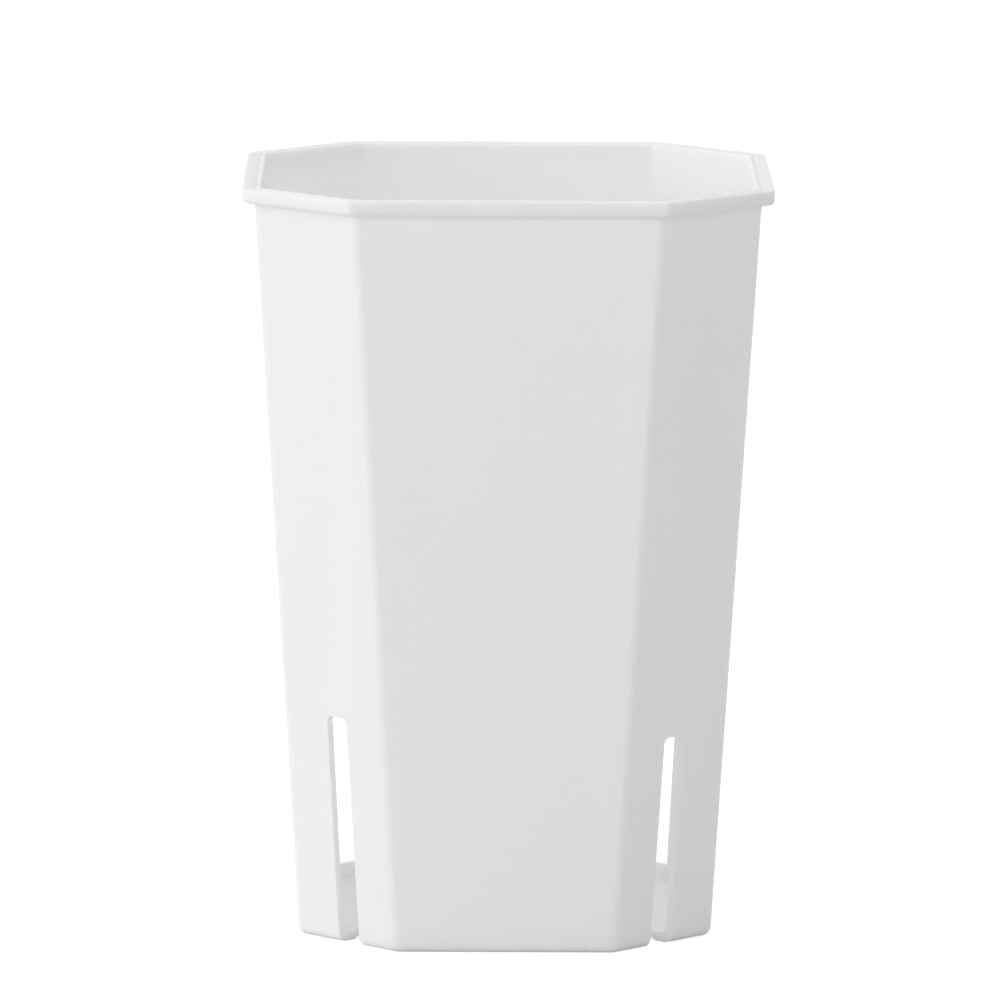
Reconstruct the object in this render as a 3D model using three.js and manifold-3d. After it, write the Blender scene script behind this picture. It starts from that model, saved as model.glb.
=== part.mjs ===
// A deep, square plant pot with cut corners, moulded in one piece of white plastic.
// Its walls taper, and its rim turns out to an upright band, whose top slopes down inwards to a
// fine lip. A tall drainage slot stands in each cut corner and runs on into the floor.
// Millimetres, +Z up. The pot stands on the plane z = 0, with the origin under its middle.

import * as THREE from 'three';
import { mergeVertices } from 'three/addons/utils/BufferGeometryUtils.js';
import Module from 'manifold-3d';

// Overall size. Widths are measured across the flat sides.
const HEIGHT = 144;
const RIM_WIDTH = 100;
const BASE_WIDTH = 78.4;

// Cut corners: the length cut from each side of the square, and how round the edges are.
const TOP_CORNER_CUT = 18.8;
const BASE_CORNER_CUT = 18.4;
const CORNER_RADIUS = 2.8;
const LEAST_CORNER_RADIUS = 0.6;

// Wall, floor and the foot that the pot stands on.
const WALL = 1.3;
const FLOOR = 1.3;
const FLOOR_RADIUS = 1.6;
const BASE_RADIUS = 1.6;
const FOOT_WIDTH = 4;
const FOOT_HEIGHT = 0.6;
const FOOT_SLOPE = 0.5;

// Rim band. Its outer edge is the pot's highest line. From there its top slopes down inwards by
// the dish, and the wall's own edge stands above the slope's foot as a fine lip.
const RIM_OVERHANG = 2.2;
const RIM_HEIGHT = 2.9;
const RIM_LOWER_RADIUS = 1;
const RIM_UPPER_RADIUS = 0.35;
const RIM_DISH = 0.3;
const UNDER_RIM_RADIUS = 0.4;
const LIP_WIDTH = 0.8;
const LIP_HEIGHT = 0.15;
const LIP_RADIUS = 0.3;

// Drainage slots. The slots of the left pair are the taller ones, and each slot stands a little
// towards the front of its corner's middle. Below, each one runs inwards as a slit in the floor.
const TALL_SLOT_HEIGHT = 44;
const SHORT_SLOT_HEIGHT = 40.5;
const SLOT_TOP_WIDTH = 5.1;
const SLOT_BASE_WIDTH = 5.5;
const SLOT_TOP_RADIUS = 1.3;
const SLOT_FORWARD = 0.8;
const SLIT_LENGTH = 9;

// Gate mark: a shallow round dimple under the floor, with the stub of the sprue inside it.
const DIMPLE_RADIUS = 4;
const DIMPLE_DEPTH = 0.4;
const STUB_RADIUS = 0.9;
const STUB_HEIGHT = 0.3;

// Smoothness: steps in each rounded corner, each bend of the profile and each round cut.
const CORNER_STEPS = 5;
const BEND_STEPS = 4;
const ROUND_STEPS = 24;

// How far a cutting shape reaches past the face that it cuts.
const PAST = 2;

const SIDES = 8;
const SIDE_TURN = (2 * Math.PI) / SIDES;
const CUT_PER_OFFSET = 2 - Math.SQRT2;

const rimUnder = HEIGHT - RIM_HEIGHT;
const lipFoot = HEIGHT - RIM_DISH;
const lipTop = lipFoot + LIP_HEIGHT;
const floorTop = FOOT_HEIGHT + FLOOR;
const lipOuter = LIP_WIDTH - WALL;

const wasm = await Module();
wasm.setup();

/** The outer wall's half-width and corner cut at a height, grown outwards by an offset. */
function wallSize(height, offset) {
  const rise = height / HEIGHT;
  const half = THREE.MathUtils.lerp(BASE_WIDTH / 2, RIM_WIDTH / 2 - RIM_OVERHANG, rise);
  const cut = THREE.MathUtils.lerp(BASE_CORNER_CUT, TOP_CORNER_CUT, rise);
  return { half: half + offset, cut: cut + offset * CUT_PER_OFFSET };
}

/** How far the outer face of a cut corner stands from the pot's axis. */
function cornerDistance(height) {
  const { half, cut } = wallSize(height, 0);
  return (2 * half - cut) / Math.SQRT2;
}

/** A ring of points round the pot: a square with cut corners, its eight edges rounded. */
function ring({ z, offset, follow = z }) {
  const { half, cut } = wallSize(follow, offset);
  const flat = half - cut;
  const radius = Math.max(CORNER_RADIUS + Math.min(offset, 0), LEAST_CORNER_RADIUS);
  const centreReach = radius / Math.cos(SIDE_TURN / 2);
  const points = [];
  for (let corner = 0; corner < SIDES; corner += 1) {
    const isFirst = corner % 2 === 0;
    const quarterTurn = Math.floor(corner / 2) * (Math.PI / 2);
    const tip = new THREE.Vector2(isFirst ? half : flat, isFirst ? flat : half);
    tip.rotateAround(new THREE.Vector2(), quarterTurn);
    const middleTurn = (corner + 0.5) * SIDE_TURN;
    const centreX = tip.x - centreReach * Math.cos(middleTurn);
    const centreY = tip.y - centreReach * Math.sin(middleTurn);
    for (let step = 0; step <= CORNER_STEPS; step += 1) {
      const turn = (corner + step / CORNER_STEPS) * SIDE_TURN;
      const x = centreX + radius * Math.cos(turn);
      const y = centreY + radius * Math.sin(turn);
      points.push(new THREE.Vector3(x, y, z));
    }
  }
  return points;
}

/** Stations of the profile along a round bend about a centre, between two angles in degrees. */
function bend(offset, z, radius, fromAngle, toAngle, follow) {
  const stations = [];
  for (let step = 0; step <= BEND_STEPS; step += 1) {
    const degrees = THREE.MathUtils.lerp(fromAngle, toAngle, step / BEND_STEPS);
    const angle = THREE.MathUtils.degToRad(degrees);
    stations.push({
      offset: offset + radius * Math.cos(angle),
      z: z + radius * Math.sin(angle),
      follow,
    });
  }
  return stations;
}

/** The pot's profile, from the middle of its underside out, up, over the rim and down inside. */
function profile() {
  const rimLower = Math.min(RIM_LOWER_RADIUS, RIM_HEIGHT / 2);
  const rimUpper = Math.min(RIM_UPPER_RADIUS, RIM_HEIGHT / 2);
  const lipInner = Math.min(LIP_RADIUS, LIP_WIDTH / 2);
  const lipRound = Math.min(lipInner, LIP_HEIGHT);
  const slope = Math.atan2(RIM_DISH, RIM_OVERHANG - rimUpper - lipOuter);
  const slopeTurn = 90 + THREE.MathUtils.radToDeg(slope);
  return [
    { offset: -FOOT_WIDTH - FOOT_SLOPE, z: FOOT_HEIGHT, follow: 0 },
    { offset: -FOOT_WIDTH, z: 0, follow: 0 },
    ...bend(-BASE_RADIUS, BASE_RADIUS, BASE_RADIUS, -90, 0),
    ...bend(UNDER_RIM_RADIUS, rimUnder - UNDER_RIM_RADIUS, UNDER_RIM_RADIUS, 180, 90),
    ...bend(RIM_OVERHANG - rimLower, rimUnder + rimLower, rimLower, -90, 0, HEIGHT),
    ...bend(RIM_OVERHANG - rimUpper, HEIGHT - rimUpper, rimUpper, 0, slopeTurn, HEIGHT),
    { offset: lipOuter, z: lipFoot, follow: HEIGHT },
    ...bend(lipOuter - lipRound, lipTop - lipRound, lipRound, 0, 90, HEIGHT),
    ...bend(lipInner - WALL, lipTop - lipInner, lipInner, 90, 180, HEIGHT),
    ...bend(-WALL - FLOOR_RADIUS, floorTop + FLOOR_RADIUS, FLOOR_RADIUS, 0, -90),
  ];
}

/** A closed skin through the rings, with both ends drawn to a point on the axis. */
function loft(rings) {
  const count = rings[0].length;
  const points = rings.flat();
  const firstMiddle = points.push(new THREE.Vector3(0, 0, rings[0][0].z)) - 1;
  const lastMiddle = points.push(new THREE.Vector3(0, 0, rings.at(-1)[0].z)) - 1;
  const lastRing = (rings.length - 1) * count;
  const faces = [];
  for (let i = 0; i < count; i += 1) {
    const next = (i + 1) % count;
    faces.push(firstMiddle, next, i);
    faces.push(lastMiddle, lastRing + i, lastRing + next);
    for (let row = 0; row < lastRing; row += count) {
      faces.push(row + i, row + next, row + count + next);
      faces.push(row + i, row + count + next, row + count + i);
    }
  }
  const geometry = new THREE.BufferGeometry().setFromPoints(points);
  geometry.setIndex(faces);
  return geometry;
}

/** The solid inside a closed geometry. */
function solid(geometry) {
  const bare = geometry.clone();
  bare.deleteAttribute('normal');
  bare.deleteAttribute('uv');
  const merged = mergeVertices(bare, 1e-5);
  return new wasm.Manifold(new wasm.Mesh({
    numProp: 3,
    vertProperties: new Float32Array(merged.attributes.position.array),
    triVerts: new Uint32Array(merged.index.array),
  }));
}

/** A geometry for the outside of a solid. */
function skin(manifold) {
  const mesh = manifold.getMesh();
  const geometry = new THREE.BufferGeometry();
  geometry.setAttribute('position', new THREE.BufferAttribute(mesh.vertProperties, 3));
  geometry.setIndex(new THREE.BufferAttribute(mesh.triVerts, 1));
  geometry.computeVertexNormals();
  return geometry;
}

/** A slot's mouth as seen square to its corner: drawn in at the top, with rounded top corners. */
function slotMouth(height) {
  const baseHalf = SLOT_BASE_WIDTH / 2;
  const topHalf = SLOT_TOP_WIDTH / 2;
  const radius = Math.min(SLOT_TOP_RADIUS, topHalf);
  const mouth = new THREE.Shape();
  mouth.moveTo(-baseHalf, -PAST);
  mouth.lineTo(baseHalf, -PAST);
  mouth.lineTo(baseHalf, 0);
  mouth.lineTo(topHalf, height - radius);
  mouth.absarc(topHalf - radius, height - radius, radius, 0, Math.PI / 2);
  mouth.absarc(radius - topHalf, height - radius, radius, Math.PI / 2, Math.PI);
  mouth.lineTo(-baseHalf, 0);
  mouth.closePath();
  return mouth;
}

/** The shape that cuts one slot: a straight cut through the wall, with a round end in the floor. */
function slotCut(corner) {
  const turn = Math.atan2(corner.y, corner.x);
  const outwards = new THREE.Vector3(Math.cos(turn), Math.sin(turn), 0);
  const up = new THREE.Vector3(0, 0, 1);
  const across = new THREE.Vector3().crossVectors(up, outwards);
  const aside = -Math.sign(across.y) * SLOT_FORWARD;
  const endDistance = cornerDistance(0) - SLIT_LENGTH + SLOT_BASE_WIDTH / 2;
  const reach = cornerDistance(corner.slotHeight) + PAST - endDistance;

  const throughWall = new THREE.ExtrudeGeometry(slotMouth(corner.slotHeight), {
    depth: reach,
    bevelEnabled: false,
    curveSegments: BEND_STEPS,
  });
  throughWall.applyMatrix4(new THREE.Matrix4().makeBasis(across, up, outwards));

  const endHeight = floorTop + FLOOR_RADIUS + PAST;
  const roundEnd = new THREE.CylinderGeometry(
    SLOT_BASE_WIDTH / 2,
    SLOT_BASE_WIDTH / 2,
    endHeight,
    ROUND_STEPS,
  );
  roundEnd.rotateX(Math.PI / 2);
  roundEnd.rotateZ(turn);
  roundEnd.translate(0, 0, endHeight / 2 - PAST);

  const place = outwards.clone().multiplyScalar(endDistance).addScaledVector(across, aside);
  throughWall.translate(place.x, place.y, place.z);
  roundEnd.translate(place.x, place.y, place.z);
  return solid(throughWall).add(solid(roundEnd));
}

/** The shallow dimple cut into the underside round the gate. */
function gateDimple() {
  const depth = DIMPLE_DEPTH + PAST;
  const dimple = new THREE.CylinderGeometry(DIMPLE_RADIUS, DIMPLE_RADIUS, depth, ROUND_STEPS);
  dimple.rotateX(Math.PI / 2);
  dimple.translate(0, 0, FOOT_HEIGHT + DIMPLE_DEPTH - depth / 2);
  return solid(dimple);
}

/** The sprue's stub, hanging from the dimple's roof and rooted in the floor above it. */
function gateStub() {
  const root = FLOOR / 4;
  const length = STUB_HEIGHT + root;
  const stub = new THREE.CylinderGeometry(STUB_RADIUS, STUB_RADIUS * 0.8, length, ROUND_STEPS);
  stub.rotateX(Math.PI / 2);
  stub.translate(0, 0, FOOT_HEIGHT + DIMPLE_DEPTH + root - length / 2);
  return solid(stub);
}

/** The whole pot: the lofted shell, cut by its four slots and marked under its floor. */
function potSolid() {
  const corners = [
    { x: -1, y: -1, slotHeight: TALL_SLOT_HEIGHT },
    { x: 1, y: -1, slotHeight: SHORT_SLOT_HEIGHT },
    { x: 1, y: 1, slotHeight: SHORT_SLOT_HEIGHT },
    { x: -1, y: 1, slotHeight: TALL_SLOT_HEIGHT },
  ];
  let pot = solid(loft(profile().map(ring)));
  for (const corner of corners) {
    pot = pot.subtract(slotCut(corner));
  }
  return pot.subtract(gateDimple()).add(gateStub());
}

const whitePlastic = new THREE.MeshStandardMaterial({
  name: 'white_plastic',
  color: 0xe6e5e7,
  roughness: 0.45,
  metalness: 0,
});

const pot = new THREE.Mesh(skin(potSolid()), whitePlastic);
pot.name = 'pot';

const plantPot = new THREE.Group();
plantPot.name = 'plant_pot';
plantPot.add(pot);

export default plantPot;
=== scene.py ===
import math

import bpy
from mathutils import Matrix, Vector


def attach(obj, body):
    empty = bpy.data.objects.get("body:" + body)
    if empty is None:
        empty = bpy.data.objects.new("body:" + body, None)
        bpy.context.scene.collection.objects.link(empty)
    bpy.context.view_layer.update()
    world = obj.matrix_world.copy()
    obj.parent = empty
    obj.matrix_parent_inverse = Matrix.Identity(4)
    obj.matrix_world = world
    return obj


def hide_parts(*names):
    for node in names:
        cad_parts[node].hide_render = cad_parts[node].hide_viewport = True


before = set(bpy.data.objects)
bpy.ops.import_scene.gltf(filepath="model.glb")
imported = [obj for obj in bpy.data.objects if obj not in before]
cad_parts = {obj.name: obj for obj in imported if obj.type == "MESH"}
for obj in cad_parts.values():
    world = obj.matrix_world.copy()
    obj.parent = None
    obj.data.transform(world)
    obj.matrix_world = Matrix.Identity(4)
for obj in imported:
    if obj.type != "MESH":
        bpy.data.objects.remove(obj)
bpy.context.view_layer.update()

MM = 0.001
FRAME_PIXELS = 1000

# Camera, fitted to the photograph's edges: a long lens, a little above the rim.
CAMERA_FOCAL_PIXELS = 9906.2
CAMERA_SENSOR = 36
CAMERA_DISTANCE = 1.896424
CAMERA_ELEVATION = 0.149334
CAMERA_ROLL = 0.00475
CAMERA_YAW = -0.00517
CAMERA_TARGET = (-1.1505 * MM, 0, 80.628 * MM)

# The pot's sizes in metres, widths across the flat sides. The tree's inputs carry these names.
SIZES = {
    "Height": 144 * MM,
    "Rim Width": 100 * MM,
    "Base Width": 78.4 * MM,
    "Top Corner Cut": 18.8 * MM,
    "Base Corner Cut": 18.4 * MM,
    "Corner Radius": 2.8 * MM,
    "Least Corner Radius": 0.6 * MM,
    "Wall": 1.3 * MM,
    "Floor": 1.3 * MM,
    "Floor Radius": 1.6 * MM,
    "Base Radius": 1.6 * MM,
    "Foot Width": 4 * MM,
    "Foot Height": 0.6 * MM,
    "Foot Slope": 0.5 * MM,
    "Foot Edge Radius": 0.25 * MM,
    "Rim Overhang": 2.2 * MM,
    "Rim Height": 2.9 * MM,
    "Rim Lower Radius": 1 * MM,
    "Rim Upper Radius": 0.2 * MM,
    "Rim Dish": 0.3 * MM,
    "Under Rim Radius": 0.6 * MM,
    "Lip Width": 0.8 * MM,
    "Lip Height": 0.28 * MM,
    "Lip Radius": 0.38 * MM,
    "Groove Width": 0.4 * MM,
    "Groove Depth": 0.25 * MM,
    "Groove Radius": 0.08 * MM,
    "Tall Slot Height": 44 * MM,
    "Short Slot Height": 40.5 * MM,
    "Slot Top Width": 5.1 * MM,
    "Slot Base Width": 5.5 * MM,
    "Slot Top Radius": 1.3 * MM,
    "Slot Forward": 0.8 * MM,
    "Slit Length": 9 * MM,
    "Back Sill Height": 4.6 * MM,
    "Dimple Radius": 4 * MM,
    "Dimple Depth": 0.4 * MM,
    "Stub Radius": 0.9 * MM,
    "Stub Height": 0.3 * MM,
    "Past": 2 * MM,
}
STUB_TAPER = 0.8
STUB_ROOT = 0.25  # how far the stub reaches into the floor, as a share of the floor

# How finely the round forms are stepped, and how near points lie before they are made one.
CORNER_STEPS = 12
BEND_STEPS = 7
ROUND_STEPS = 64
STUB_STEPS = 32
SIDES = 8
SLOT_COUNT = 4
RING_RADIUS = 0.1  # any will do: each ring point is placed afresh
SAME_POINT = 0.001 * MM
SAME_SKIN_POINT = 0.0001 * MM
LEAST_EDGE = 0.004 * MM
SLOT_EDGE_WIDTH = 0.22 * MM
SLOT_EDGE_ANGLE = math.radians(50)
SLOT_EDGE_STEPS = 2

# Light: how bright the studio is all round and towards each of its sides, its lamps, each with
# its place, its width and height in metres and its watts, and the pale floor.
STUDIO_LIGHT = 0.235
LEFT_LIGHT = 1.0
RIGHT_LIGHT = 0.42
REAR_LIGHT = 0.33
LIGHT_TINT = (1, 0.98, 1, 1)
LAMPS = {
    "key_left": ((-1.3, -0.7, 0.12), (1.2, 0.5), 5.3),
    "fill_front": ((0.3, -2.4, 1.2), (1.5, 1.2), 10.3),
    "top": ((0, 0.1, 1.6), (1.2, 1.2), 4.6),
}
LAMP_AIM = (0, 0, 0.08)
WHITE = (1, 1, 1, 1)
FLOOR_SIZE = 12
FLOOR_TONE = (0.7, 0.7, 0.7, 1)
FLOOR_GLOW = 0.6
LIGHT_BOUNCES = 24

# The plastic: its white, how far light travels in it, and its gloss.
PLASTIC_TONE = 0.97
GREEN_LOSS = 0.003
CLOUD_TONE = 0.006
CLOUD_RANGE = (0.3, 0.7)
PLASTIC_DEPTH = 1 * MM
PLASTIC_IOR = 1.49
ROUGHNESS = 0.33
CLOUD_ROUGHNESS = 0.08
LINE_ROUGHNESS = 0.06
WORN_ROUGHNESS = 0.2

# The moulding's finish: grain, flow of the melt, polishing lines of the mould and light scuffs,
# and at the foot, wear with a painted contact shade.
GRAIN_SCALE = 1800
GRAIN_DEPTH = 0.012 * MM
FLOW_SCALE = 70
FLOW_STRETCH = 0.3
FLOW_DEPTH = 0.06 * MM
LINE_SCALE = 1300
LINE_STRETCH = 0.012
LINE_DEPTH = 0.004 * MM
SCUFF_SCALE = 130
SCUFF_WIDTH = 0.006
SCUFF_PATCH_SCALE = 28
SCUFF_PATCH_RANGE = (0.52, 0.66)
# Near the foot: rubbed wear that roughens the surface, and a painted contact shade that darkens
# the white towards the ground.
FOOT_WEAR_AND_SHADE_HEIGHT = 1.2 * MM
FOOT_WEAR_AND_SHADE_LEAST = 0.4
FOOT_SHADE_TONE = -0.09
FOOT_SHADE_SHARE = 0.5


class Wire:
    """One output of a node. Sums, products and the like on it add Math nodes."""

    def __init__(self, board, socket):
        self.board = board
        self.socket = socket

    def math(self, operation, *values):
        links = dict(enumerate((self, *values)))
        return self.board.add("ShaderNodeMath", links, operation=operation)[0]

    def __add__(self, other):
        return self.math("ADD", other)

    def __sub__(self, other):
        return self.math("SUBTRACT", other)

    def __mul__(self, other):
        return self.math("MULTIPLY", other)

    def __truediv__(self, other):
        return self.math("DIVIDE", other)

    def __mod__(self, other):
        return self.math("FLOORED_MODULO", other)

    def __lt__(self, other):
        return self.math("LESS_THAN", other)

    def __gt__(self, other):
        return self.math("GREATER_THAN", other)

    def __rsub__(self, other):
        return self.board.add("ShaderNodeMath", {0: other, 1: self}, operation="SUBTRACT")[0]

    def __rtruediv__(self, other):
        return self.board.add("ShaderNodeMath", {0: other, 1: self}, operation="DIVIDE")[0]

    __radd__ = __add__


class Made:
    """A node just added. An output is found by its name or its place."""

    def __init__(self, board, node):
        self.board = board
        self.node = node

    def __getitem__(self, key):
        return Wire(self.board, find_socket(self.node.outputs, key))


def find_socket(sockets, key):
    if isinstance(key, int):
        return [socket for socket in sockets if socket.enabled][key]
    return next(socket for socket in sockets if socket.enabled and socket.name == key)


class Board:
    """A node tree that is built by adding nodes, each with its settings and its inputs."""

    def __init__(self, tree):
        self.tree = tree

    def add(self, kind, links=None, items=0, **settings):
        node = self.tree.nodes.new(kind)
        for name, value in settings.items():
            setattr(node, name, value)
        for _ in range(items - 2):  # a new Index Switch node has two items
            node.index_switch_items.new()
        for key, value in (links or {}).items():
            self.feed(find_socket(node.inputs, key), value)
        return Made(self, node)

    def feed(self, socket, value):
        if isinstance(value, Wire):
            self.tree.links.new(value.socket, socket)
        elif isinstance(value, list):
            for wire in value:
                self.tree.links.new(wire.socket, socket)
        else:
            socket.default_value = value


# ---- geometry ----

class Shaper(Board):
    """A board for Geometry Nodes, with the few steps that the pot's tree repeats."""

    def inputs(self, sizes):
        for name in sizes:
            how = {"in_out": "INPUT", "socket_type": "NodeSocketFloat"}
            socket = self.tree.interface.new_socket(name, **how)
            socket.default_value = sizes[name]
        entry = self.add("NodeGroupInput")
        return {name: entry[name] for name in sizes}

    def vector(self, x, y, z):
        return self.add("ShaderNodeCombineXYZ", {"X": x, "Y": y, "Z": z})[0]

    def pick(self, index, values, data_type="VECTOR"):
        links = {"Index": index}
        links.update({str(place): value for place, value in enumerate(values)})
        count = len(values)
        return self.add("GeometryNodeIndexSwitch", links, items=count, data_type=data_type)[0]

    def store(self, geometry, name, value):
        links = {"Geometry": geometry, "Name": name, "Value": value}
        how = {"data_type": "FLOAT", "domain": "POINT"}
        return self.add("GeometryNodeStoreNamedAttribute", links, **how)[0]

    def named(self, name):
        return self.add("GeometryNodeInputNamedAttribute", {"Name": name}, data_type="FLOAT")[0]

    def line_through(self, stations, radii):
        """A polyline through stations, which keeps the radius of each bend."""
        line = self.add("GeometryNodeMeshLine", {"Count": len(stations)})[0]
        index = self.add("GeometryNodeInputIndex")[0]
        places = self.pick(index, stations)
        line = self.add("GeometryNodeSetPosition", {"Geometry": line, "Position": places})[0]
        return self.store(line, "bend", self.pick(index, radii, "FLOAT"))

    def rounded(self, line, cyclic=False):
        """The line with its bends rounded."""
        curve = self.add("GeometryNodeMeshToCurve", {"Mesh": line})[0]
        if cyclic:
            curve = self.add("GeometryNodeSetSplineCyclic", {"Geometry": curve, "Cyclic": True})[0]
        links = {"Curve": curve, "Count": BEND_STEPS, "Radius": self.named("bend")}
        links["Limit Radius"] = True
        return self.add("GeometryNodeFilletCurve", links, mode="POLY")[0]

    def prism(self, outline, length):
        """A closed solid: the face inside a flat outline, drawn out upwards."""
        face = self.add("GeometryNodeFillCurve", {"Curve": outline}, mode="NGONS")[0]
        up = self.vector(0, 0, 1)
        links = {"Mesh": face, "Offset": up, "Offset Scale": length, "Individual": False}
        drawn = self.add("GeometryNodeExtrudeMesh", links, mode="FACES")
        back = self.add("GeometryNodeFlipFaces", {"Mesh": face})[0]
        both = self.add("GeometryNodeJoinGeometry", {"Geometry": [drawn["Mesh"], back]})[0]
        return self.joined(both, SAME_POINT)

    def joined(self, geometry, distance):
        """The geometry with its points nearer than a distance made one."""
        links = {"Geometry": geometry, "Distance": distance}
        return self.add("GeometryNodeMergeByDistance", links)[0]

    def moved(self, geometry, offset):
        return self.add("GeometryNodeTransform", {"Geometry": geometry, "Translation": offset})[0]


def wall_size(size, height, offset):
    """The outer wall's half-width and corner cut at a height, grown outwards by an offset."""
    rise = height / size["Height"]
    base_half = size["Base Width"] / 2
    top_half = size["Rim Width"] / 2 - size["Rim Overhang"]
    half = base_half + (top_half - base_half) * rise + offset
    cut_grown = (size["Top Corner Cut"] - size["Base Corner Cut"]) * rise
    cut = size["Base Corner Cut"] + cut_grown + offset * (2 - math.sqrt(2))
    return half, cut


def corner_distance(size, height):
    """How far the middle of a cut corner's outer face is from the pot's axis at a height."""
    half, cut = wall_size(size, height, 0)
    return (half * 2 - cut) / math.sqrt(2)


def wall_profile(board, size):
    """The outline of a cut through one side: floor, foot, wall, rim band, groove and lip.

    Each of its points keeps how far outwards it lies, its height, whether it stands upright
    with the rim's top or leans with the wall, and whether it reaches out to the ring at all.
    """
    height = size["Height"]
    rim_under = height - size["Rim Height"]
    lip_foot = height - size["Rim Dish"]
    lip_top = lip_foot + size["Lip Height"]
    floor_top = size["Foot Height"] + size["Floor"]
    lip_outer = size["Lip Width"] - size["Wall"]
    groove_outer = lip_outer + size["Groove Width"]
    groove_floor = lip_foot - size["Groove Depth"]
    inner = size["Wall"] * -1
    middle = size["Base Width"] / -2

    # The band's top slopes down inwards. Its rounded edge reaches the full height, so the
    # sharp corner that the rounding replaces lies a little higher.
    upper = size["Rim Upper Radius"]
    run = size["Rim Overhang"] - upper - groove_outer
    fall = size["Rim Dish"] - upper
    reach = (run * run + fall * fall).math("SQRT")
    slope = (fall / run).math("ARCTANGENT") + (upper / reach).math("ARCSINE")
    sharp_top = height + upper * ((slope.math("SINE") + 1) / slope.math("COSINE") - 1)

    foot_inner = size["Foot Width"] * -1
    foot_edge = size["Foot Edge Radius"]
    groove_edge = size["Groove Radius"]
    # Offset outwards, height, edge radius, stands upright, reaches out.
    stations = [
        (middle, size["Foot Height"], 0, 0, 0),
        (foot_inner - size["Foot Slope"], size["Foot Height"], foot_edge, 0, 1),
        (foot_inner, 0, foot_edge, 0, 1),
        (0, 0, size["Base Radius"], 0, 1),
        (0, rim_under, size["Under Rim Radius"], 0, 1),
        (size["Rim Overhang"], rim_under, size["Rim Lower Radius"], 1, 1),
        (size["Rim Overhang"], sharp_top, upper, 1, 1),
        (groove_outer, lip_foot, groove_edge, 1, 1),
        (groove_outer, groove_floor, groove_edge, 1, 1),
        (lip_outer, groove_floor, groove_edge, 1, 1),
        (lip_outer, lip_top, size["Lip Radius"], 1, 1),
        (inner, lip_top, size["Lip Radius"], 1, 1),
        (inner, floor_top, size["Floor Radius"], 0, 1),
        (middle, floor_top, 0, 0, 0),
    ]
    places = [board.vector(row[0], 0, row[1]) for row in stations]
    line = board.line_through(places, [row[2] for row in stations])
    index = board.add("GeometryNodeInputIndex")[0]
    line = board.store(line, "upright", board.pick(index, [row[3] for row in stations], "FLOAT"))
    line = board.store(line, "reach", board.pick(index, [row[4] for row in stations], "FLOAT"))
    profile = board.rounded(line)
    position = board.add("GeometryNodeInputPosition")[0]
    drawn = board.add("ShaderNodeSeparateXYZ", {0: position})
    profile = board.store(profile, "offset", drawn["X"])
    return board.store(profile, "level", drawn["Z"])


def shell(board, size):
    """The walls, floor, foot, rim and lip: the profile swept round an eight-sided ring."""
    corner_points = CORNER_STEPS + 1
    links = {"Resolution": SIDES * corner_points, "Radius": RING_RADIUS}
    ring = board.add("GeometryNodeCurvePrimitiveCircle", links)[0]
    index = board.add("GeometryNodeInputIndex")[0]
    corner = (index / corner_points).math("FLOOR")
    step = (index - corner * corner_points) / CORNER_STEPS
    ring = board.store(ring, "corner", corner)
    ring = board.store(ring, "turn", (corner + step) * (2 * math.pi / SIDES))
    links = {"Curve": ring, "Profile Curve": wall_profile(board, size)}
    skin = board.add("GeometryNodeCurveToMesh", links)[0]

    # Each point of the skin goes to its place on the rounded corner that it belongs to.
    offset = board.named("offset")
    level = board.named("level")
    corner = board.named("corner")
    turn = board.named("turn")
    reach = board.named("reach")
    follow = level + (size["Height"] - level) * board.named("upright")
    half, cut = wall_size(size, follow, offset)
    flat = half - cut
    radius = size["Corner Radius"] + offset.math("MINIMUM", 0)
    radius = radius.math("MAXIMUM", size["Least Corner Radius"])
    centre_reach = radius / math.cos(math.pi / SIDES)
    is_second = corner % 2
    tip_x = half + (flat - half) * is_second
    tip_y = flat + (half - flat) * is_second
    quarter = (corner / 2).math("FLOOR") * (math.pi / 2)
    cosine = quarter.math("COSINE")
    sine = quarter.math("SINE")
    middle_turn = (corner + 0.5) * (2 * math.pi / SIDES)
    centre_x = tip_x * cosine - tip_y * sine - centre_reach * middle_turn.math("COSINE")
    centre_y = tip_x * sine + tip_y * cosine - centre_reach * middle_turn.math("SINE")
    x = (centre_x + radius * turn.math("COSINE")) * reach
    y = (centre_y + radius * turn.math("SINE")) * reach
    place = board.vector(x, y, level)
    skin = board.add("GeometryNodeSetPosition", {"Geometry": skin, "Position": place})[0]
    skin = board.joined(skin, SAME_SKIN_POINT)
    return board.add("GeometryNodeFlipFaces", {"Mesh": skin})[0]


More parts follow.
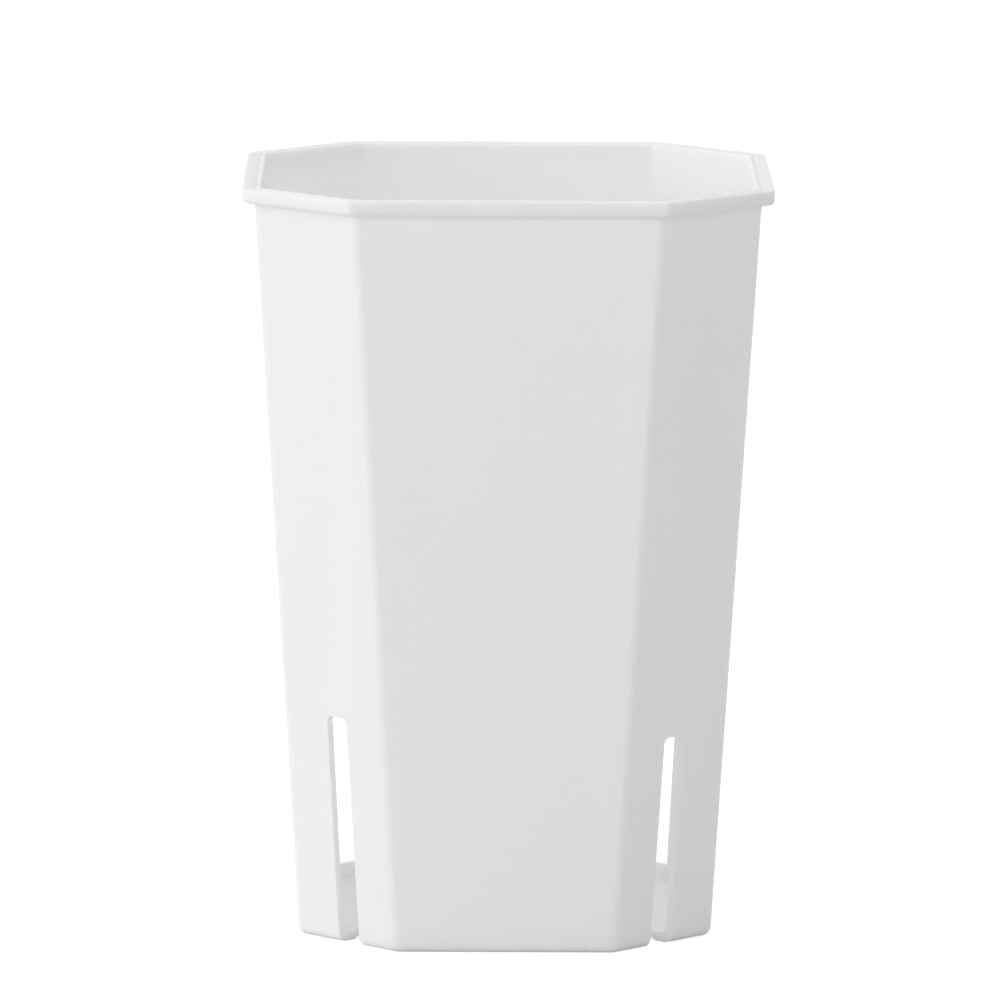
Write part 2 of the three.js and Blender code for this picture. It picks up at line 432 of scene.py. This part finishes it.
def slot_cutters(board, size):
    """Four slots, each a straight cut through its corner.

    The front ones run down through the foot and have a round end in the floor. The back ones
    end on a sill.
    """
    past = size["Past"]
    base_half = size["Slot Base Width"] / 2
    top_half = size["Slot Top Width"] / 2
    tall = size["Tall Slot Height"]
    end_distance = corner_distance(size, 0) - size["Slit Length"] + base_half
    far = corner_distance(size, tall) + past
    stations = [
        board.vector(base_half * -1, past * -1, 0),
        board.vector(base_half, past * -1, 0),
        board.vector(base_half, 0, 0),
        board.vector(top_half, tall, 0),
        board.vector(top_half * -1, tall, 0),
        board.vector(base_half * -1, 0, 0),
    ]
    top = size["Slot Top Radius"]
    mouth = board.rounded(board.line_through(stations, [0, 0, 0, top, top, 0]), cyclic=True)
    links = {
        "Geometry": board.prism(mouth, far - end_distance),
        "Translation": board.vector(end_distance, 0, 0),
        "Rotation": (math.pi / 2, 0, math.pi / 2),
    }
    straight = board.add("GeometryNodeTransform", links)[0]
    end_height = size["Foot Height"] + size["Floor"] + size["Floor Radius"] + past
    links = {"Vertices": ROUND_STEPS, "Radius": base_half, "Depth": end_height}
    round_end = board.add("GeometryNodeMeshCylinder", links, fill_type="NGON")["Mesh"]
    round_end = board.moved(round_end, board.vector(end_distance, 0, end_height / 2 - past))

    index = board.add("GeometryNodeInputIndex")[0]
    turn = (index + 0.5) * (math.pi / 2)
    x_side = turn.math("COSINE").math("SIGN")
    y_side = turn.math("SINE").math("SIGN")
    shift = size["Slot Forward"] / math.sqrt(2)
    place = board.vector(x_side * y_side * shift, shift * -1, 0)
    points = board.add("GeometryNodePoints", {"Count": SLOT_COUNT, "Position": place})[0]
    points = board.store(points, "drop", (tall - size["Short Slot Height"]) * (x_side > 0))
    points = board.store(points, "sill", (size["Back Sill Height"] + past) * (y_side > 0))
    cutters = []
    for cutter, chosen in ((straight, True), (round_end, y_side < 0)):
        links = {"Points": points, "Selection": chosen, "Instance": cutter}
        links["Rotation"] = board.vector(0, 0, turn)
        placed = board.add("GeometryNodeInstanceOnPoints", links)[0]
        placed = board.add("GeometryNodeRealizeInstances", {"Geometry": placed})[0]
        cutters.append(placed)
    position = board.add("GeometryNodeInputPosition")[0]
    height = board.add("ShaderNodeSeparateXYZ", {0: position})["Z"]
    is_top = height > tall / 2
    is_foot = height < tall / 2
    rise = board.vector(0, 0, board.named("sill") * is_foot - board.named("drop") * is_top)
    straight = board.add("GeometryNodeSetPosition", {"Geometry": cutters[0], "Offset": rise})[0]
    return straight, cutters[1]


def gate(board, size):
    """The gate's dimple, to be cut, and the sprue's stub, to be added."""
    depth = size["Dimple Depth"] + size["Past"]
    links = {"Vertices": ROUND_STEPS, "Radius": size["Dimple Radius"], "Depth": depth}
    dimple = board.add("GeometryNodeMeshCylinder", links, fill_type="NGON")["Mesh"]
    roof = size["Foot Height"] + size["Dimple Depth"]
    dimple = board.moved(dimple, board.vector(0, 0, roof - depth / 2))
    root = size["Floor"] * STUB_ROOT
    length = size["Stub Height"] + root
    links = {
        "Vertices": STUB_STEPS,
        "Radius Top": size["Stub Radius"],
        "Radius Bottom": size["Stub Radius"] * STUB_TAPER,
        "Depth": length,
    }
    stub = board.add("GeometryNodeMeshCone", links, fill_type="NGON")["Mesh"]
    stub = board.moved(stub, board.vector(0, 0, roof + root - length))
    return dimple, stub


def pot_tree(material):
    tree = bpy.data.node_groups.new("moulded_pot", "GeometryNodeTree")
    board = Shaper(tree)
    size = board.inputs(SIZES)
    tree.interface.new_socket("Geometry", in_out="OUTPUT", socket_type="NodeSocketGeometry")
    dimple, stub = gate(board, size)
    links = {"Mesh 1": shell(board, size), "Mesh 2": [*slot_cutters(board, size), dimple]}
    how = {"operation": "DIFFERENCE", "solver": "MANIFOLD"}
    cut = board.add("GeometryNodeMeshBoolean", links, **how)["Mesh"]
    how["operation"] = "UNION"
    whole = board.add("GeometryNodeMeshBoolean", {0: [cut, stub]}, **how)["Mesh"]
    whole = board.joined(whole, LEAST_EDGE)
    whole = board.add("GeometryNodeRealizeInstances", {"Geometry": whole})[0]
    whole = board.add("GeometryNodeSetMaterial", {"Geometry": whole, "Material": material})[0]
    board.add("NodeGroupOutput", {"Geometry": whole})
    return tree


def grown(name, tree, values):
    """A plain mesh object from a Geometry Nodes tree, its inputs set by their identifiers."""
    seed = bpy.data.objects.new(name + "_seed", bpy.data.meshes.new(name + "_seed"))
    bpy.context.scene.collection.objects.link(seed)
    modifier = seed.modifiers.new("tree", "NODES")
    modifier.node_group = tree
    for item in tree.interface.items_tree:
        if item.item_type == "SOCKET" and item.in_out == "INPUT":
            modifier[item.identifier] = values[item.name]
    graph = bpy.context.evaluated_depsgraph_get()
    mesh = bpy.data.meshes.new_from_object(seed.evaluated_get(graph))
    mesh.name = name
    seed.modifiers.remove(modifier)
    bpy.data.objects.remove(seed)
    made = bpy.data.objects.new(name, mesh)
    bpy.context.scene.collection.objects.link(made)
    return made


# ---- materials ----

def tone(change):
    """The plastic's white, a trace of lilac in it, made lighter or darker by a change."""
    level = PLASTIC_TONE + change
    return (level, level - GREEN_LOSS, level, 1)


def noise(board, place, scale, detail=2):
    links = {"Vector": place, "Scale": scale, "Detail": detail}
    return board.add("ShaderNodeTexNoise", links)["Fac"]


def drawn_out(board, place, stretch):
    """The place with its height shortened, so that a pattern on it stretches upwards."""
    links = {"Vector": place, "Scale": (1, 1, stretch)}
    return board.add("ShaderNodeMapping", links, vector_type="POINT")[0]


def between(board, value, low, high):
    """0 below low, 1 above high, and a smooth step from one to the other."""
    links = {"Value": value, "From Min": low, "From Max": high}
    return board.add("ShaderNodeMapRange", links, interpolation_type="SMOOTHSTEP")[0]


def empty_board(owner):
    """A board on the nodes of a material or a world, with its own first nodes gone."""
    owner.use_nodes = True
    owner.node_tree.nodes.clear()
    return Board(owner.node_tree)


def seen_plainly(board):
    """1 where the camera sees a surface, itself or in a gloss or through glass, 0 elsewhere."""
    path = board.add("ShaderNodeLightPath")
    seen = path["Is Camera Ray"].math("MAXIMUM", path["Is Glossy Ray"])
    return seen.math("MAXIMUM", path["Is Transmission Ray"])


def mixed(board, share, first, second):
    links = {"Factor": share, "A": first, "B": second}
    return board.add("ShaderNodeMix", links, data_type="RGBA")["Result"]


def white_plastic():
    material = bpy.data.materials.new("white_plastic")
    board = empty_board(material)
    place = board.add("ShaderNodeTexCoord")["Object"]
    height = board.add("ShaderNodeSeparateXYZ", {0: place})["Z"]

    grain = noise(board, place, GRAIN_SCALE)
    flow = noise(board, drawn_out(board, place, FLOW_STRETCH), FLOW_SCALE, 3)
    lines = noise(board, drawn_out(board, place, LINE_STRETCH), LINE_SCALE, 1)
    vein = (noise(board, place, SCUFF_SCALE, 4) - 0.5).math("ABSOLUTE")
    patch = between(board, noise(board, place, SCUFF_PATCH_SCALE), *SCUFF_PATCH_RANGE)
    scuff = (1 - between(board, vein, 0, SCUFF_WIDTH)) * patch
    # Near the foot: real wear, and a painted contact shade where the pot meets the floor.
    foot_wear_and_shade = (1 - between(board, height, 0, FOOT_WEAR_AND_SHADE_HEIGHT)) * (FOOT_WEAR_AND_SHADE_LEAST + grain)

    relief = grain * GRAIN_DEPTH + flow * FLOW_DEPTH + lines * LINE_DEPTH
    bump = board.add("ShaderNodeBump", {"Strength": 1, "Distance": 1, "Height": relief})[0]
    cloud = between(board, flow, *CLOUD_RANGE)
    tint = mixed(board, cloud, tone(-CLOUD_TONE), tone(CLOUD_TONE))
    # Painted contact shade: the white is made darker towards the foot.
    tint = mixed(board, foot_wear_and_shade * FOOT_SHADE_SHARE, tint, tone(FOOT_SHADE_TONE))
    roughness = ROUGHNESS + cloud * CLOUD_ROUGHNESS + lines * LINE_ROUGHNESS
    links = {
        "Base Color": tint,
        "Roughness": roughness + scuff * WORN_ROUGHNESS + foot_wear_and_shade * WORN_ROUGHNESS,
        "IOR": PLASTIC_IOR,
        "Normal": bump,
        "Subsurface Weight": 1,
        "Subsurface Radius": (1, 1, 1),
        "Subsurface Scale": PLASTIC_DEPTH,
    }
    plastic = board.add("ShaderNodeBsdfPrincipled", links)["BSDF"]
    board.add("ShaderNodeOutputMaterial", {"Surface": plastic})
    return material


def floor_material():
    material = bpy.data.materials.new("studio_floor")
    board = empty_board(material)
    matte = board.add("ShaderNodeBsdfDiffuse", {"Color": FLOOR_TONE})[0]
    glow = board.add("ShaderNodeEmission", {"Color": WHITE, "Strength": FLOOR_GLOW})[0]
    pale = board.add("ShaderNodeAddShader", {0: matte, 1: glow})[0]
    surface = board.add("ShaderNodeMixShader", {0: seen_plainly(board), 1: matte, 2: pale})[0]
    board.add("ShaderNodeOutputMaterial", {"Surface": surface})
    return material


# ---- scene ----

def make_camera():
    data = bpy.data.cameras.new("camera")
    data.sensor_fit = "HORIZONTAL"
    data.sensor_width = CAMERA_SENSOR
    data.lens = CAMERA_FOCAL_PIXELS / FRAME_PIXELS * CAMERA_SENSOR
    camera = bpy.data.objects.new("camera", data)
    bpy.context.scene.collection.objects.link(camera)
    turn = Matrix.Rotation(CAMERA_YAW, 3, "Z")
    sine, cosine = math.sin(CAMERA_ELEVATION), math.cos(CAMERA_ELEVATION)
    right = turn @ Vector((1, 0, 0))
    up = turn @ Vector((0, sine, cosine))
    back = turn @ Vector((0, -cosine, sine))
    x_axis = right * math.cos(CAMERA_ROLL) + up * math.sin(CAMERA_ROLL)
    y_axis = up * math.cos(CAMERA_ROLL) - right * math.sin(CAMERA_ROLL)
    eye = turn @ Vector(CAMERA_TARGET) + back * CAMERA_DISTANCE
    axes = Matrix((x_axis, y_axis, back)).transposed().to_4x4()
    camera.matrix_world = Matrix.Translation(eye) @ axes
    bpy.context.scene.camera = camera


def make_floor():
    bpy.ops.mesh.primitive_plane_add(size=FLOOR_SIZE)
    floor = bpy.context.object
    floor.name = "floor"
    floor.data.materials.append(floor_material())


def make_lamps():
    for name, (place, (width, height), watts) in LAMPS.items():
        data = bpy.data.lights.new(name, "AREA")
        data.shape = "RECTANGLE"
        data.size = width
        data.size_y = height
        data.energy = watts
        lamp = bpy.data.objects.new(name, data)
        lamp.location = place
        way = Vector(LAMP_AIM) - Vector(place)
        lamp.rotation_euler = way.to_track_quat("-Z", "Y").to_euler()
        bpy.context.scene.collection.objects.link(lamp)


def make_studio():
    """The world: soft light from all sides, brighter from some, with a white backdrop."""
    world = bpy.data.worlds.new("studio")
    bpy.context.scene.world = world
    board = empty_board(world)
    way = board.add("ShaderNodeSeparateXYZ", {0: board.add("ShaderNodeTexCoord")["Generated"]})
    amount = STUDIO_LIGHT + way["X"].math("MAXIMUM", 0) * RIGHT_LIGHT
    amount = amount + (way["X"] * -1).math("MAXIMUM", 0) * LEFT_LIGHT
    amount = amount + way["Y"].math("MAXIMUM", 0) * REAR_LIGHT
    light = board.add("ShaderNodeBackground", {"Color": LIGHT_TINT, "Strength": amount})[0]
    backdrop = board.add("ShaderNodeBackground", {"Color": WHITE, "Strength": 1})[0]
    both = board.add("ShaderNodeMixShader", {0: seen_plainly(board), 1: light, 2: backdrop})[0]
    board.add("ShaderNodeOutputWorld", {"Surface": both})


scene = bpy.context.scene
scene.view_settings.view_transform = "Standard"
scene.cycles.max_bounces = LIGHT_BOUNCES
scene.cycles.diffuse_bounces = LIGHT_BOUNCES
make_camera()
make_floor()
make_lamps()
make_studio()

pot = grown("moulded_pot", pot_tree(white_plastic()), SIZES)
edges = pot.modifiers.new("edges", "BEVEL")
edges.width = SLOT_EDGE_WIDTH
edges.segments = SLOT_EDGE_STEPS
edges.limit_method = "ANGLE"
edges.angle_limit = SLOT_EDGE_ANGLE
edges.harden_normals = True
doubles = pot.modifiers.new("doubles", "WELD")
doubles.merge_threshold = LEAST_EDGE / 2
for face in pot.data.polygons:
    face.use_smooth = True
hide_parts("pot")
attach(pot, "root")
